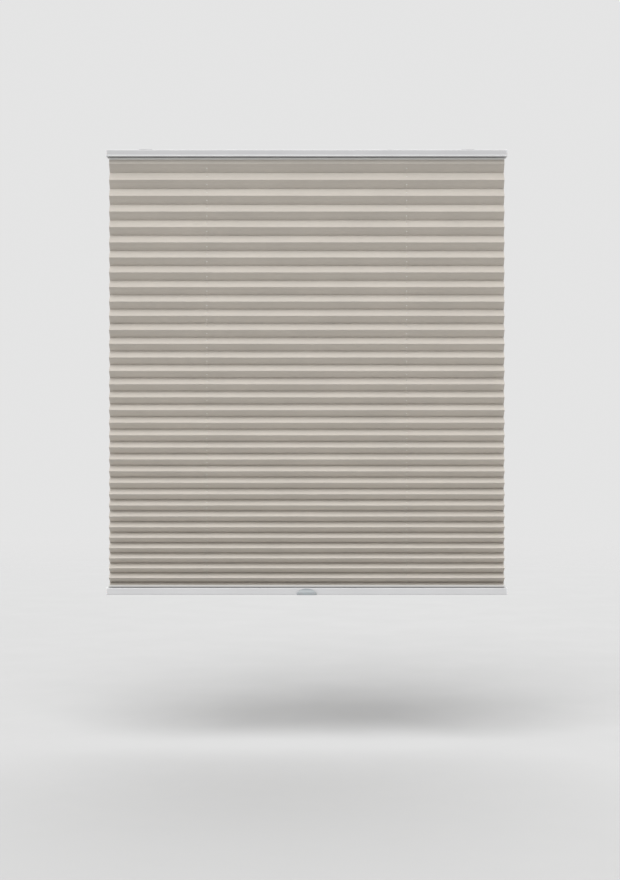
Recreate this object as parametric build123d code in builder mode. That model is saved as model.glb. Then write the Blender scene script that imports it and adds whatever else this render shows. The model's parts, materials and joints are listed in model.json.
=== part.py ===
from build123d import *
import math
import os

# Pleated blind: a slim head rail, a pleated sheet and a bottom rail that slides
# up and down on two hidden cords. The cords wind on spools on a spring-driven
# shaft inside the head rail.
# Millimetres. X runs along the rails, -Y is the room side, +Z is up. The origin is
# the middle of the plane that the two fixing clips are screwed against.

# ------------------------------------------------------------ overall sizes
blind_width = 820.0        # over the end caps of either rail
fabric_side_gap = 5.0      # from the outer face of an end cap in to the edge of the sheet

# ------------------------------------------------------------ pleated sheet
fold_count = 66            # folds down the sheet, front and back in turn
panel_width = 20.0         # flat width of the sheet between two folds
top_panel_drop = 16.6      # height of the topmost panel, opened by the weight below it
bottom_panel_drop = 9.8    # height of the lowest panel, which carries least
fabric_thickness = 0.5
fabric_end_gap = 0.3       # between either end of the sheet and its strip
cord_hole_radius = 2.0     # punched through every panel

# ------------------------------------------------------------ rail section
rail_depth = 24.0          # front to back
rail_height = 14.0
rail_wall = 1.0
rail_corner = 1.5
slot_half_width = 6.0      # T slot that holds the sheet's end strip
slot_height = 2.6
mouth_width = 6.0          # open mouth of the T slot
back_lip = 4.0             # each of the two lips beside the head rail's open top

# ------------------------------------------------------------ end strips of the sheet
strip_head_clearance = 0.3
strip_head_thickness = 1.2
strip_neck_clearance = 0.4
strip_neck_height = 2.0    # shows as the dark groove beside each rail
strip_flange_depth = 18.0
strip_flange_thickness = 3.0
strip_hole_radius = 1.2

# ------------------------------------------------------------ fixing clips
clip_inset = 80.0          # from the end of the blind in to a clip's centre
clip_width = 26.0
clip_plate = 1.2
clip_leg = 1.0
clip_leg_clearance = 0.3
clip_foot_gap = 0.9        # between the end of a foot and the rail's side wall
clip_overhang = 1.5        # plate past the opening on each side
screw_hole_radius = 2.1
clip_bend = 0.6

# ------------------------------------------------------------ lift gear
cord_inset = 205.0         # from the end of the blind in to a cord
cord_diameter = 0.7
spool_radius = 3.1
spool_flange = 0.9         # how far a spool's ends stand over its barrel
gear_floor_gap = 0.2       # between the widest turning piece and the web of the head rail
winding_length = 40.0      # barrel that takes the whole travel in one layer
wound_length = 10.0        # barrel covered by cord with the blind as it hangs
winding_bedding = 0.05     # wound cord flattens by this much
cone_length = 1.5
cone_gap = 0.5             # from the cord's middle line to the foot of the cone
stop_flange = 1.0
journal_radius = 2.6
journal_length = 3.2
journal_clearance = 0.05
axial_play = 0.3
shaft_side = 3.0
shaft_clearance = 0.05     # each side, in a square bore
shaft_overhang = 2.0

cradle_clearance = 0.2     # to each side wall of the rail
cradle_top_gap = 0.4       # under the lips of the rail
cradle_floor = 0.8
cradle_wall = 2.6
cradle_side = 1.2
spool_clearance = 0.6

eyelet_radius = 2.2
eyelet_fit = 0.05
eyelet_bore = 1.0
eyelet_flange_radius = 3.4
eyelet_flange = 0.6

spring_length = 250.0
spring_wire = 0.7
spring_bore_radius = 3.0
spigot_length = 8.0
fixed_spigot_clearance = 0.05
drive_spigot_clearance = 0.3
fixed_plug_width = 10.0
drive_plug_width = 3.0
shaft_turning_clearance = 0.2

# ------------------------------------------------------------ bottom rail fittings
rail_cord_hole_radius = 1.5
anchor_radius = 4.5
anchor_height = 4.5
anchor_bore = 0.6
knot_radius = 1.1
knot_gap = 0.1

grip_width = 41.0
grip_height = 12.6
grip_reach = 7.5           # how far its lip stands out of the rail
grip_lip = 2.2
grip_root = 1.2            # thickness at its top
grip_peg_radius = 1.5
grip_peg_fit = 0.05
grip_peg_x = 11.0
grip_peg_length = 3.0

# ------------------------------------------------------------ end caps
cap_plate = 1.5
cap_edge = 0.6             # rounding of its outer edge
spigot_fit = 0.1
cap_spigot_length = 12.0

# ------------------------------------------------------------ worked out from these
rail_length = blind_width - 2 * cap_plate
fabric_width = blind_width - 2 * fabric_side_gap
cord_x = blind_width / 2 - cord_inset
clip_x = blind_width / 2 - clip_inset
back_opening = rail_depth - 2 * back_lip
channel_half = rail_depth / 2 - rail_wall
web_height = rail_wall + slot_height          # from the mouth to the near face of the web
web_top = web_height + rail_wall              # and to its far face

head_top = -clip_plate
head_mouth = head_top - rail_height
sheet_top = head_mouth - strip_neck_height - strip_flange_thickness - fabric_end_gap


def panel_drop(index):
    """Height of a panel, from the topmost, 0, to the lowest."""
    share = index / (fold_count - 2)
    return top_panel_drop + (bottom_panel_drop - top_panel_drop) * share


def fold_points():
    """(y, z, drop) of the sheet's top end, of each fold, and of its bottom end."""
    z = sheet_top
    points = [(0.0, z, panel_drop(0))]
    z -= panel_drop(0) / 2
    for fold in range(fold_count):
        drop = panel_drop(min(max(fold - 0.5, 0), fold_count - 2))
        half_depth = math.sqrt(panel_width ** 2 - drop ** 2) / 2
        points.append((-half_depth if fold % 2 == 0 else half_depth, z, drop))
        if fold < fold_count - 1:
            z -= panel_drop(fold)
    z -= panel_drop(fold_count - 2) / 2
    points.append((0.0, z, panel_drop(fold_count - 2)))
    return points


folds = fold_points()
sheet_bottom = folds[-1][1]
bottom_mouth = sheet_bottom - fabric_end_gap - strip_flange_thickness - strip_neck_height
bottom_floor = bottom_mouth - rail_height

spool_flange_radius = spool_radius + spool_flange
spring_radius = spring_bore_radius + spring_wire
spool_y = spool_radius + cord_diameter / 2    # puts the falling cord on the centre plane
head_web = head_mouth + web_top
spool_z = head_web + max(spool_flange_radius, spring_radius) + gear_floor_gap
cradle_height = rail_height - rail_wall - web_top - cradle_top_gap
bottom_web = bottom_mouth - web_top

cone_root = cord_x - cone_gap
inner_wall_face = cone_root - cone_length - axial_play
barrel_end = cone_root + winding_length
outer_wall_face = barrel_end + stop_flange + axial_play
shaft_half_length = outer_wall_face + cradle_wall + shaft_overhang
cradle_half = channel_half - cradle_clearance

strip_height = rail_wall + strip_head_thickness + strip_neck_height + strip_flange_thickness
side_channel = channel_half - slot_half_width - rail_wall    # on each side of the T slot
grip_peg_z = bottom_floor + grip_height / 2
grip_pegs = [(-grip_peg_x, grip_peg_z), (grip_peg_x, grip_peg_z)]


# ------------------------------------------------------------ helpers
os.makedirs("parts", exist_ok=True)


def write(piece, node):
    """Labels a finished piece and writes it as one STEP file."""
    piece.part.label = node
    export_step(piece.part, f"parts/{node}.step")


def write_pair(piece, node):
    """Writes the right-hand piece, and its mirror image as the left-hand one."""
    write(piece, f"{node}_right")
    with BuildPart() as left:
        mirror(piece.part, about=Plane.YZ)
    write(left, f"{node}_left")


def section_plane(x, mouth, outward):
    """A plane across the blind: its X is depth, and its Y runs from a rail's mouth into the rail."""
    return Plane(origin=(x, 0, mouth), x_dir=(0, outward, 0), z_dir=(1, 0, 0))


def upright_hole(x, y, z, depth, radius):
    """Cuts a round hole that runs down from z by depth, in the part being built."""
    with BuildSketch(Plane.XY.offset(z)) as outline:
        with Locations((x, y)):
            Circle(radius)
    extrude(outline.sketch, amount=-depth, mode=Mode.SUBTRACT)


def block(x_range, y_range, z_range, mode=Mode.ADD):
    """A box between two values on each axis, in the part being built."""
    with BuildSketch(Plane.XY.offset(z_range[0])) as outline:
        with Locations(((x_range[0] + x_range[1]) / 2, (y_range[0] + y_range[1]) / 2)):
            Rectangle(x_range[1] - x_range[0], y_range[1] - y_range[0])
    extrude(outline.sketch, amount=z_range[1] - z_range[0], mode=mode)


def rod(x_range, radius, mode=Mode.ADD):
    """A cylinder on the lift shaft's axis between two values of x, in the part being built."""
    with BuildSketch(Plane.YZ.offset(x_range[0])) as outline:
        with Locations((spool_y, spool_z)):
            Circle(radius)
    extrude(outline.sketch, amount=x_range[1] - x_range[0], mode=mode)


def square_bore(x_range, side, mode=Mode.SUBTRACT):
    """A square bore, or with Mode.ADD a bar, on the lift shaft's axis between two values of x."""
    with BuildSketch(Plane.YZ.offset(x_range[0])) as outline:
        with Locations((spool_y, spool_z)):
            Rectangle(side, side)
    extrude(outline.sketch, amount=x_range[1] - x_range[0], mode=mode)


# ------------------------------------------------------------ rails
def rail_section(plane, open_back):
    """The extruded section: a box with a T slot behind its mouth, and an open back on the head rail."""
    foot = (Align.CENTER, Align.MIN)
    with BuildSketch(plane) as section:
        outline = Rectangle(rail_depth, rail_height, align=foot)
        fillet(outline.vertices(), rail_corner)
        with Locations((0, rail_wall)):
            Rectangle(2 * channel_half, rail_height - 2 * rail_wall, align=foot, mode=Mode.SUBTRACT)
        Rectangle(2 * (slot_half_width + rail_wall), web_top, align=foot)
        with Locations((0, rail_wall)):
            Rectangle(2 * slot_half_width, slot_height, align=foot, mode=Mode.SUBTRACT)
        Rectangle(mouth_width, rail_wall, align=foot, mode=Mode.SUBTRACT)
        if open_back:
            with Locations((0, rail_height - rail_wall)):
                Rectangle(back_opening, rail_wall, align=foot, mode=Mode.SUBTRACT)
    return section


with BuildPart() as head_rail:
    section = rail_section(section_plane(-rail_length / 2, head_mouth, 1), open_back=True)
    extrude(section.sketch, amount=rail_length)
    for x in (-cord_x, cord_x):
        upright_hole(x, 0, head_web, rail_wall, eyelet_radius + eyelet_fit)
write(head_rail, "head_rail")

with BuildPart() as bottom_rail:
    section = rail_section(section_plane(-rail_length / 2, bottom_mouth, -1), open_back=False)
    extrude(section.sketch, amount=rail_length)
    for x in (-cord_x, cord_x):
        upright_hole(x, 0, bottom_mouth - web_height, rail_wall, rail_cord_hole_radius)
    with BuildSketch(Plane.XZ.offset(channel_half)):
        with Locations(grip_pegs):
            Circle(grip_peg_radius + grip_peg_fit)
    extrude(amount=rail_wall, mode=Mode.SUBTRACT)
write(bottom_rail, "bottom_rail")


# ------------------------------------------------------------ end caps
def end_cap(mouth, outward):
    """A plate over the right-hand end of a rail, with a spigot on each side of the T slot."""
    spigot_u = channel_half - side_channel / 2
    spigot_height = rail_height - 2 * rail_wall - 2 * spigot_fit
    with BuildPart() as cap:
        with BuildSketch(section_plane(rail_length / 2, mouth, outward)):
            outline = Rectangle(rail_depth, rail_height, align=(Align.CENTER, Align.MIN))
            fillet(outline.vertices(), rail_corner)
        extrude(amount=cap_plate)
        fillet(cap.faces().sort_by(Axis.X)[-1].edges(), cap_edge)
        with BuildSketch(section_plane(rail_length / 2, mouth, outward)):
            with Locations((-spigot_u, rail_height / 2), (spigot_u, rail_height / 2)):
                Rectangle(side_channel - 2 * spigot_fit, spigot_height)
        extrude(amount=-cap_spigot_length)
    return cap


write_pair(end_cap(head_mouth, 1), "head_end_cap")
write_pair(end_cap(bottom_mouth, -1), "bottom_end_cap")


# ------------------------------------------------------------ end strips of the sheet
def fabric_strip(mouth, outward):
    """A T bar hooked in a rail's slot, with the flange that the sheet is held by."""
    with BuildPart() as strip:
        with BuildSketch(section_plane(-fabric_width / 2, mouth, outward)):
            with Locations((0, rail_wall)):
                Rectangle(
                    2 * (slot_half_width - strip_head_clearance),
                    strip_head_thickness,
                    align=(Align.CENTER, Align.MIN),
                )
            with Locations((0, rail_wall)):
                Rectangle(
                    mouth_width - 2 * strip_neck_clearance,
                    rail_wall + strip_neck_height,
                    align=(Align.CENTER, Align.MAX),
                )
            with Locations((0, -strip_neck_height)):
                Rectangle(strip_flange_depth, strip_flange_thickness, align=(Align.CENTER, Align.MAX))
        extrude(amount=fabric_width)
        for x in (-cord_x, cord_x):
            upright_hole(x, 0, mouth + strip_height, 2 * strip_height, strip_hole_radius)
    return strip


write(fabric_strip(head_mouth, 1), "head_fabric_strip")
write(fabric_strip(bottom_mouth, -1), "bottom_fabric_strip")


# ------------------------------------------------------------ pleated sheet
def fold_shift(drop):
    """How far a fold's two skins stand from its middle line, along Y."""
    return fabric_thickness / 2 * panel_width / drop


with BuildPart() as pleated_fabric:
    with BuildSketch(Plane.YZ.offset(-fabric_width / 2)):
        with BuildLine():
            front_skin = [(y - fold_shift(drop), z) for y, z, drop in folds]
            back_skin = [(y + fold_shift(drop), z) for y, z, drop in reversed(folds)]
            Polyline(*front_skin, *back_skin, close=True)
        make_face()
    extrude(amount=fabric_width)
    for x in (-cord_x, cord_x):
        upright_hole(x, 0, sheet_top, sheet_top - sheet_bottom, cord_hole_radius)
write(pleated_fabric, "pleated_fabric")


# ------------------------------------------------------------ fixing clips
with BuildPart() as fixing_clip:
    leg_face = back_opening / 2 - clip_leg_clearance
    clip_foot = channel_half - clip_foot_gap - leg_face
    foot_top = head_top - rail_wall
    with BuildSketch(Plane.YZ.offset(clip_x - clip_width / 2)):
        with Locations((0, -clip_plate / 2)):
            Rectangle(back_opening + 2 * clip_overhang, clip_plate)
        for side in (-1, 1):
            with Locations((side * (leg_face - clip_leg / 2), (foot_top - clip_leg) / 2)):
                Rectangle(clip_leg, clip_leg - foot_top)
            with Locations((side * (leg_face + clip_foot / 2), foot_top - clip_leg / 2)):
                Rectangle(clip_foot, clip_leg)
    extrude(amount=clip_width)
    under_plate = fixing_clip.edges().filter_by(Axis.X).filter_by_position(
        Axis.Z, -clip_plate - clip_bend, -clip_plate + clip_bend
    )
    inner_bends = under_plate.filter_by_position(Axis.Y, clip_leg - leg_face, leg_face - clip_leg)
    fillet(inner_bends, clip_bend)
    plate_corners = fixing_clip.edges().filter_by(Axis.Z).group_by(Axis.Z)[-1]
    fillet(plate_corners, clip_overhang)
    upright_hole(clip_x, 0, 0, clip_plate, screw_hole_radius)
write_pair(fixing_clip, "fixing_clip")


# ------------------------------------------------------------ lift shaft and its spring
with BuildPart() as lift_shaft:
    square_bore((-shaft_half_length, shaft_half_length), shaft_side, mode=Mode.ADD)
write(lift_shaft, "lift_shaft")

spring_end = spring_length / 2
shaft_corner = shaft_side / math.sqrt(2)

with BuildPart() as lift_spring:
    rod((-spring_end, spring_end), spring_radius)
    rod((-spring_end, spring_end), spring_bore_radius, mode=Mode.SUBTRACT)
write(lift_spring, "lift_spring")

with BuildPart() as spring_fixed_plug:
    plug_range = (-spring_end - fixed_plug_width, -spring_end)
    block(plug_range, (-cradle_half, cradle_half), (head_web, head_web + cradle_height))
    rod((-spring_end, -spring_end + spigot_length), spring_bore_radius - fixed_spigot_clearance)
    bore_range = (plug_range[0], plug_range[1] + spigot_length)
    rod(bore_range, shaft_corner + shaft_turning_clearance, mode=Mode.SUBTRACT)
write(spring_fixed_plug, "spring_fixed_plug")

with BuildPart() as spring_drive_plug:
    spigot_start = spring_end - spigot_length
    head_start = spring_end + drive_spigot_clearance
    plug_end = spring_end + drive_plug_width
    rod((spigot_start, head_start), spring_bore_radius - drive_spigot_clearance)
    rod((head_start, plug_end), spring_radius)
    square_bore((spigot_start, plug_end), shaft_side + 2 * shaft_clearance)
write(spring_drive_plug, "spring_drive_plug")


# ------------------------------------------------------------ cord spools and their cradles
with BuildPart() as cord_spool:
    with BuildSketch(Plane.XZ.offset(-spool_y)):
        with BuildLine():
            journal_start = cone_root - cone_length - journal_length
            stop_end = barrel_end + stop_flange
            Polyline(
                (journal_start, spool_z),
                (journal_start, spool_z + journal_radius),
                (cone_root - cone_length, spool_z + journal_radius),
                (cone_root - cone_length, spool_z + spool_flange_radius),
                (cone_root, spool_z + spool_radius),
                (barrel_end, spool_z + spool_radius),
                (barrel_end, spool_z + spool_flange_radius),
                (stop_end, spool_z + spool_flange_radius),
                (stop_end, spool_z + journal_radius),
                (stop_end + journal_length, spool_z + journal_radius),
                (stop_end + journal_length, spool_z),
                close=True,
            )
        make_face()
    revolve(axis=Axis((0, spool_y, spool_z), (1, 0, 0)))
    square_bore((journal_start, stop_end + journal_length), shaft_side + 2 * shaft_clearance)
write_pair(cord_spool, "cord_spool")

with BuildPart() as spool_cradle:
    cradle_x = (inner_wall_face - cradle_wall, outer_wall_face + cradle_wall)
    cradle_z = (head_web, head_web + cradle_height)
    block(cradle_x, (-cradle_half, cradle_half), cradle_z)
    block(
        (inner_wall_face, outer_wall_face),
        (-cradle_half + cradle_side, cradle_half - cradle_side),
        (head_web + cradle_floor, cradle_z[1]),
        mode=Mode.SUBTRACT,
    )
    pocket_half = spool_flange_radius + spool_clearance
    block(
        (inner_wall_face, outer_wall_face),
        (spool_y - pocket_half, spool_y + pocket_half),
        cradle_z,
        mode=Mode.SUBTRACT,
    )
    rod(cradle_x, journal_radius + journal_clearance, mode=Mode.SUBTRACT)
write_pair(spool_cradle, "spool_cradle")

with BuildPart() as cord_eyelet:
    with BuildSketch(Plane.XY.offset(head_web)):
        with Locations((cord_x, 0)):
            Circle(eyelet_radius)
    extrude(amount=-rail_wall - eyelet_flange)
    with BuildSketch(Plane.XY.offset(head_web - rail_wall)):
        with Locations((cord_x, 0)):
            Circle(eyelet_flange_radius)
    extrude(amount=-eyelet_flange)
    upright_hole(cord_x, 0, head_web, rail_wall + eyelet_flange, eyelet_bore)
write_pair(cord_eyelet, "cord_eyelet")


# ------------------------------------------------------------ lift cords and their anchors
anchor_bottom = bottom_web - anchor_height
knot_z = anchor_bottom - knot_gap - knot_radius

with BuildPart() as cord_anchor:
    with BuildSketch(Plane.XY.offset(bottom_web)):
        with Locations((cord_x, 0)):
            Circle(anchor_radius)
    extrude(amount=-anchor_height)
    upright_hole(cord_x, 0, bottom_web, anchor_height, anchor_bore)
write_pair(cord_anchor, "cord_anchor")

with BuildPart() as lift_cord:
    turns = (cord_x - cord_diameter / 2, cord_x + wound_length)
    rod(turns, spool_radius + cord_diameter - winding_bedding)
    rod(turns, spool_radius + winding_bedding, mode=Mode.SUBTRACT)
    with BuildSketch(Plane.XY.offset(spool_z)):
        with Locations((cord_x, 0)):
            Circle(cord_diameter / 2)
    extrude(amount=knot_z - spool_z)
    with Locations((cord_x, 0, knot_z)):
        Sphere(knot_radius)
write_pair(lift_cord, "lift_cord")


# ------------------------------------------------------------ thumb grip
with BuildPart() as thumb_grip:
    rail_front = -rail_depth / 2
    with BuildSketch(Plane.YZ.offset(-grip_width / 2)):
        with BuildLine():
            grip_top = (rail_front - grip_root, bottom_floor + grip_height)
            lip_top = (rail_front - grip_reach, bottom_floor + grip_lip)
            Line((rail_front, bottom_floor), (rail_front, bottom_floor + grip_height))
            Line((rail_front, bottom_floor + grip_height), grip_top)
            TangentArc(grip_top, lip_top, tangent=(0, -1))
            Line(lip_top, (rail_front - grip_reach, bottom_floor))
            Line((rail_front - grip_reach, bottom_floor), (rail_front, bottom_floor))
        make_face()
    extrude(amount=grip_width)
    with BuildSketch(Plane.XZ.offset(-rail_front)):
        with Locations((0, bottom_floor)):
            Ellipse(grip_width / 2, grip_height)
    extrude(amount=grip_reach, mode=Mode.INTERSECT)
    with BuildSketch(Plane.XZ.offset(-rail_front)):
        with Locations(grip_pegs):
            Circle(grip_peg_radius)
    extrude(amount=-grip_peg_length)
write(thumb_grip, "thumb_grip")

print("sheet drop", round(sheet_top - sheet_bottom, 2))
print("overall drop", round(-bottom_floor, 2))
print("flat length of the sheet", fold_count * panel_width)
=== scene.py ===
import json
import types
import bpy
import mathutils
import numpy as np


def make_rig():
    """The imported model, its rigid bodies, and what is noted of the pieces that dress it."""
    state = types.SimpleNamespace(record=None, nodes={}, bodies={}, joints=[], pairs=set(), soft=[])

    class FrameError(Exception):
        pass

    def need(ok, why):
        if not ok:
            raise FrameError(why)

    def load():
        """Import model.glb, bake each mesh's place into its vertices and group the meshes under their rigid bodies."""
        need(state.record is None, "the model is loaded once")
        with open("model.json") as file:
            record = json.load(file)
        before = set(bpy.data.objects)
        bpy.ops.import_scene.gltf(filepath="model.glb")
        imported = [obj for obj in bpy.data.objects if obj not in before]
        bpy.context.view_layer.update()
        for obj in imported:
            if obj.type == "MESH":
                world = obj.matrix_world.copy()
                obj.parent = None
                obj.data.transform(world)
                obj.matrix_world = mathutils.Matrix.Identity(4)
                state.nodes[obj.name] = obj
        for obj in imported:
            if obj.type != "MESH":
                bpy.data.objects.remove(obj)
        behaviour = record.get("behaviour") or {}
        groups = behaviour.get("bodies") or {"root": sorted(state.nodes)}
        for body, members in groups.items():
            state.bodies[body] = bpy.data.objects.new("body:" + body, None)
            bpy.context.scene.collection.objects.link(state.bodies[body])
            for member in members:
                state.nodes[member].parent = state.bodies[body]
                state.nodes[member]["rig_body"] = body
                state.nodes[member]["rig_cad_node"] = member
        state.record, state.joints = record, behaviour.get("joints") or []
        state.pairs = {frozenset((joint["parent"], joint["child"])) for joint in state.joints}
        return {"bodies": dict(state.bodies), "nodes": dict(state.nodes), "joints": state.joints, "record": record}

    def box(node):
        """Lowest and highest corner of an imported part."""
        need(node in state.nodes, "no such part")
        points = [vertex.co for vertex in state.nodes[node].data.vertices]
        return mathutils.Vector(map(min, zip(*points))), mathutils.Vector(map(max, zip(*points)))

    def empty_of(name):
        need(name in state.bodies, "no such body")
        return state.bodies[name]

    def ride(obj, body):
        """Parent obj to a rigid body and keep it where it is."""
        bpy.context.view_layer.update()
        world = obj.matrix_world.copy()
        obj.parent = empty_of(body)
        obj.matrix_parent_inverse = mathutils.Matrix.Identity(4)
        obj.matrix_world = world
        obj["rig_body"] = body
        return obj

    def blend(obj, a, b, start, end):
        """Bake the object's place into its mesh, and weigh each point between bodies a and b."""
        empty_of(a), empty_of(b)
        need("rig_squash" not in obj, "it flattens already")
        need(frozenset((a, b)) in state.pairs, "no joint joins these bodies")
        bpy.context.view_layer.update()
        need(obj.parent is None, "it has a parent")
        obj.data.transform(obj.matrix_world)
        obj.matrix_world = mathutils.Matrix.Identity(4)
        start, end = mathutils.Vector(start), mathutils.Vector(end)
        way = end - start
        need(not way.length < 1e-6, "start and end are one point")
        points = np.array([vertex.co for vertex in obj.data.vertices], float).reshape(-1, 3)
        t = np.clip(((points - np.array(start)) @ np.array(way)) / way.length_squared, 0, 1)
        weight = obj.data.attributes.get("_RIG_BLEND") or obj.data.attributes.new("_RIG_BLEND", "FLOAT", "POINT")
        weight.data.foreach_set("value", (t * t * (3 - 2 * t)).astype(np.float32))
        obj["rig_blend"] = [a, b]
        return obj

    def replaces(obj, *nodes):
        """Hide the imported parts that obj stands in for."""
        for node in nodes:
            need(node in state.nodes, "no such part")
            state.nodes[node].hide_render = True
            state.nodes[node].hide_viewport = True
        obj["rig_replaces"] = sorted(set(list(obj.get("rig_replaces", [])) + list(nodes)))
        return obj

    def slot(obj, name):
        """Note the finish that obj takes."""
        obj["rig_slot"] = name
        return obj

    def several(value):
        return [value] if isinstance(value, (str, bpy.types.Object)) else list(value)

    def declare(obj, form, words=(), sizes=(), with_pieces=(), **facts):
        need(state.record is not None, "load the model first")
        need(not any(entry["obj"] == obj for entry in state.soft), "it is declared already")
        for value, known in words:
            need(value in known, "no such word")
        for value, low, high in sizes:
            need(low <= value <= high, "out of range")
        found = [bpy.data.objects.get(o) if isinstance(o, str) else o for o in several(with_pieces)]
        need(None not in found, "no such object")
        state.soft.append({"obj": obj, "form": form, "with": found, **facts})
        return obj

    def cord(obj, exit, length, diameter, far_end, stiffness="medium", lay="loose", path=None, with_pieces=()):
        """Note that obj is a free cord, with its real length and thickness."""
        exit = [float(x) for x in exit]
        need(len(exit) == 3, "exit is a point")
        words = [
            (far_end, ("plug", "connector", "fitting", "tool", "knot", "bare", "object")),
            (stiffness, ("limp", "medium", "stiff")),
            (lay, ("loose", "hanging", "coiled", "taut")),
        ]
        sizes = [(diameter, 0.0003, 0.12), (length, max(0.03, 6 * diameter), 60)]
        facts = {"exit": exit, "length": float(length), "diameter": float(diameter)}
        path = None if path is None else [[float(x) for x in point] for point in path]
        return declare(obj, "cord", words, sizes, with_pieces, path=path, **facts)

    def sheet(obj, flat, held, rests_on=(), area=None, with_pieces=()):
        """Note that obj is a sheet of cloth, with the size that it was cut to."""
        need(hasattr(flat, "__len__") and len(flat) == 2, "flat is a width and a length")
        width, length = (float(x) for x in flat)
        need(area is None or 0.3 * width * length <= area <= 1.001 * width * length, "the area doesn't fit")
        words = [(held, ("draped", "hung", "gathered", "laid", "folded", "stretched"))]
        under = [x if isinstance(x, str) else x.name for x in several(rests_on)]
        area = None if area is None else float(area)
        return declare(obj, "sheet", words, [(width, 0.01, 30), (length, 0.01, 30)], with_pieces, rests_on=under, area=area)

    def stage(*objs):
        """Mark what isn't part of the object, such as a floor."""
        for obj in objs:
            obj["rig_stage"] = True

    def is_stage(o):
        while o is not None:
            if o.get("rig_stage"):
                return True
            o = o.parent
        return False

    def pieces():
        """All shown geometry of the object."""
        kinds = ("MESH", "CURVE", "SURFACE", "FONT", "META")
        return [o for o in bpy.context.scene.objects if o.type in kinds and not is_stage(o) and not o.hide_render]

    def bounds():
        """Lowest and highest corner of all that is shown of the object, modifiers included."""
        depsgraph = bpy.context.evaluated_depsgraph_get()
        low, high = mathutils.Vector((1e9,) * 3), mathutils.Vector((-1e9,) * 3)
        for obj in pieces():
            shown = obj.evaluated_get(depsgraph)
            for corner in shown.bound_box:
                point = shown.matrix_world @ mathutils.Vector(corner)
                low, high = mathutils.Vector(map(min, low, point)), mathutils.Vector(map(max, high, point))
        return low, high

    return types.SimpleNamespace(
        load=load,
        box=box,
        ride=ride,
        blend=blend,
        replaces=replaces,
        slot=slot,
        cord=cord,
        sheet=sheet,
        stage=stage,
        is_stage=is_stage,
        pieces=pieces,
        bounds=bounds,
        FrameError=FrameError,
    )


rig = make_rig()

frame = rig.load()

import json
import math
import random

import bpy
import numpy as np
from bpy.props import FloatProperty, FloatVectorProperty, IntProperty, PointerProperty
from mathutils import Vector

bl_info = {
    "name": "Pleated Blind",
    "version": (1, 0, 0),
    "blender": (4, 5, 0),
    "location": "View3D > Sidebar > Blind",
    "description": "Builds the visible pieces of a pleated blind around its working frame",
    "category": "Add Mesh",
}

cad_low, cad_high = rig.bounds()

# Named places of the working frame, in metres: X along the rails, -Y the room side, +Z up.
SHEET_LOW, SHEET_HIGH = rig.box("pleated_fabric")
HEAD_STRIP_LOW, HEAD_STRIP_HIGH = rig.box("head_fabric_strip")
FOOT_STRIP_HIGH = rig.box("bottom_fabric_strip")[1]
SHAFT_LOW, SHAFT_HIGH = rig.box("lift_shaft")
SPRING_LOW, SPRING_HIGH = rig.box("lift_spring")
CORD_LOW, CORD_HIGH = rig.box("lift_cord_right")
ANCHOR_LOW, ANCHOR_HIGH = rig.box("cord_anchor_right")
SHAFT_Y = (SHAFT_LOW.y + SHAFT_HIGH.y) / 2
SHAFT_Z = (SHAFT_LOW.z + SHAFT_HIGH.z) / 2
CORD_X = (ANCHOR_LOW.x + ANCHOR_HIGH.x) / 2
RAIL_SLIDE = next(j for j in frame["joints"] if j["name"] == "bottom_rail_slide")


# ------------------------------------------------------------------ settings
class SheetSettings(bpy.types.PropertyGroup):
    """Sizes and colour of the pleated sheet."""
    fold_count: IntProperty(
        name="Folds", description="Folds down the sheet, front and back in turn", default=66)
    panel_width: FloatProperty(
        name="Panel width", description="Flat width of the sheet between two folds", default=0.020,
        unit="LENGTH")
    top_drop: FloatProperty(
        name="Top panel height", description="Height of the topmost panel", default=0.0166, unit="LENGTH")
    bottom_drop: FloatProperty(
        name="Bottom panel height", description="Height of the lowest panel", default=0.0098, unit="LENGTH")
    top_reach: FloatProperty(
        name="Top reach", description="How far in front of the middle the sheet leaves its strip",
        default=0.0042, unit="LENGTH")
    thickness: FloatProperty(
        name="Thickness", description="Thickness of the cloth", default=0.0003, unit="LENGTH")
    hole_radius: FloatProperty(
        name="Hole radius", description="Radius of the punched holes for the cords", default=0.0012,
        unit="LENGTH")
    bow: FloatProperty(
        name="Panel bow", description="How far a panel bends out of flat on the way to its folds",
        default=0.0002, unit="LENGTH")
    wander: FloatProperty(
        name="Wander", description="How far a fold strays from a straight line", default=0.00008,
        unit="LENGTH")
    colour: FloatVectorProperty(
        name="Colour", description="Colour of the cloth", subtype="COLOR", default=(0.61, 0.575, 0.527))


class RailSettings(bpy.types.PropertyGroup):
    """Sizes of the head rail's lip and of the head strip's flange."""
    lip_height: FloatProperty(
        name="Lip height", description="Height of the lip from the rail's lower edge", default=0.0044,
        unit="LENGTH")
    lip_slope: FloatProperty(
        name="Lip slope", description="Height over which the lip runs out of the rail's face", default=0.0030,
        unit="LENGTH")
    flange_depth: FloatProperty(
        name="Flange depth", description="Depth of the head strip's flange, front to back", default=0.0118,
        unit="LENGTH")
    lip_reach: FloatProperty(
        name="Lip reach", description="How far the lip stands out", default=0.0016, unit="LENGTH")


class CordSettings(bpy.types.PropertyGroup):
    """Sizes and colour of the lift cords."""
    diameter: FloatProperty(
        name="Diameter", description="Diameter of the lift cords", default=0.0007, unit="LENGTH")
    pitch: FloatProperty(
        name="Pitch of the turns", description="Distance from one wound turn to the next", default=0.00072,
        unit="LENGTH")
    colour: FloatVectorProperty(
        name="Colour", description="Colour of the lift cords", subtype="COLOR", default=(0.58, 0.54, 0.485))


class SpringSettings(bpy.types.PropertyGroup):
    """Sizes of the torsion spring."""
    wire: FloatProperty(
        name="Wire", description="Diameter of the spring's wire", default=0.0007, unit="LENGTH")
    pitch: FloatProperty(
        name="Pitch", description="Distance from one turn to the next", default=0.0008, unit="LENGTH")


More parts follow.
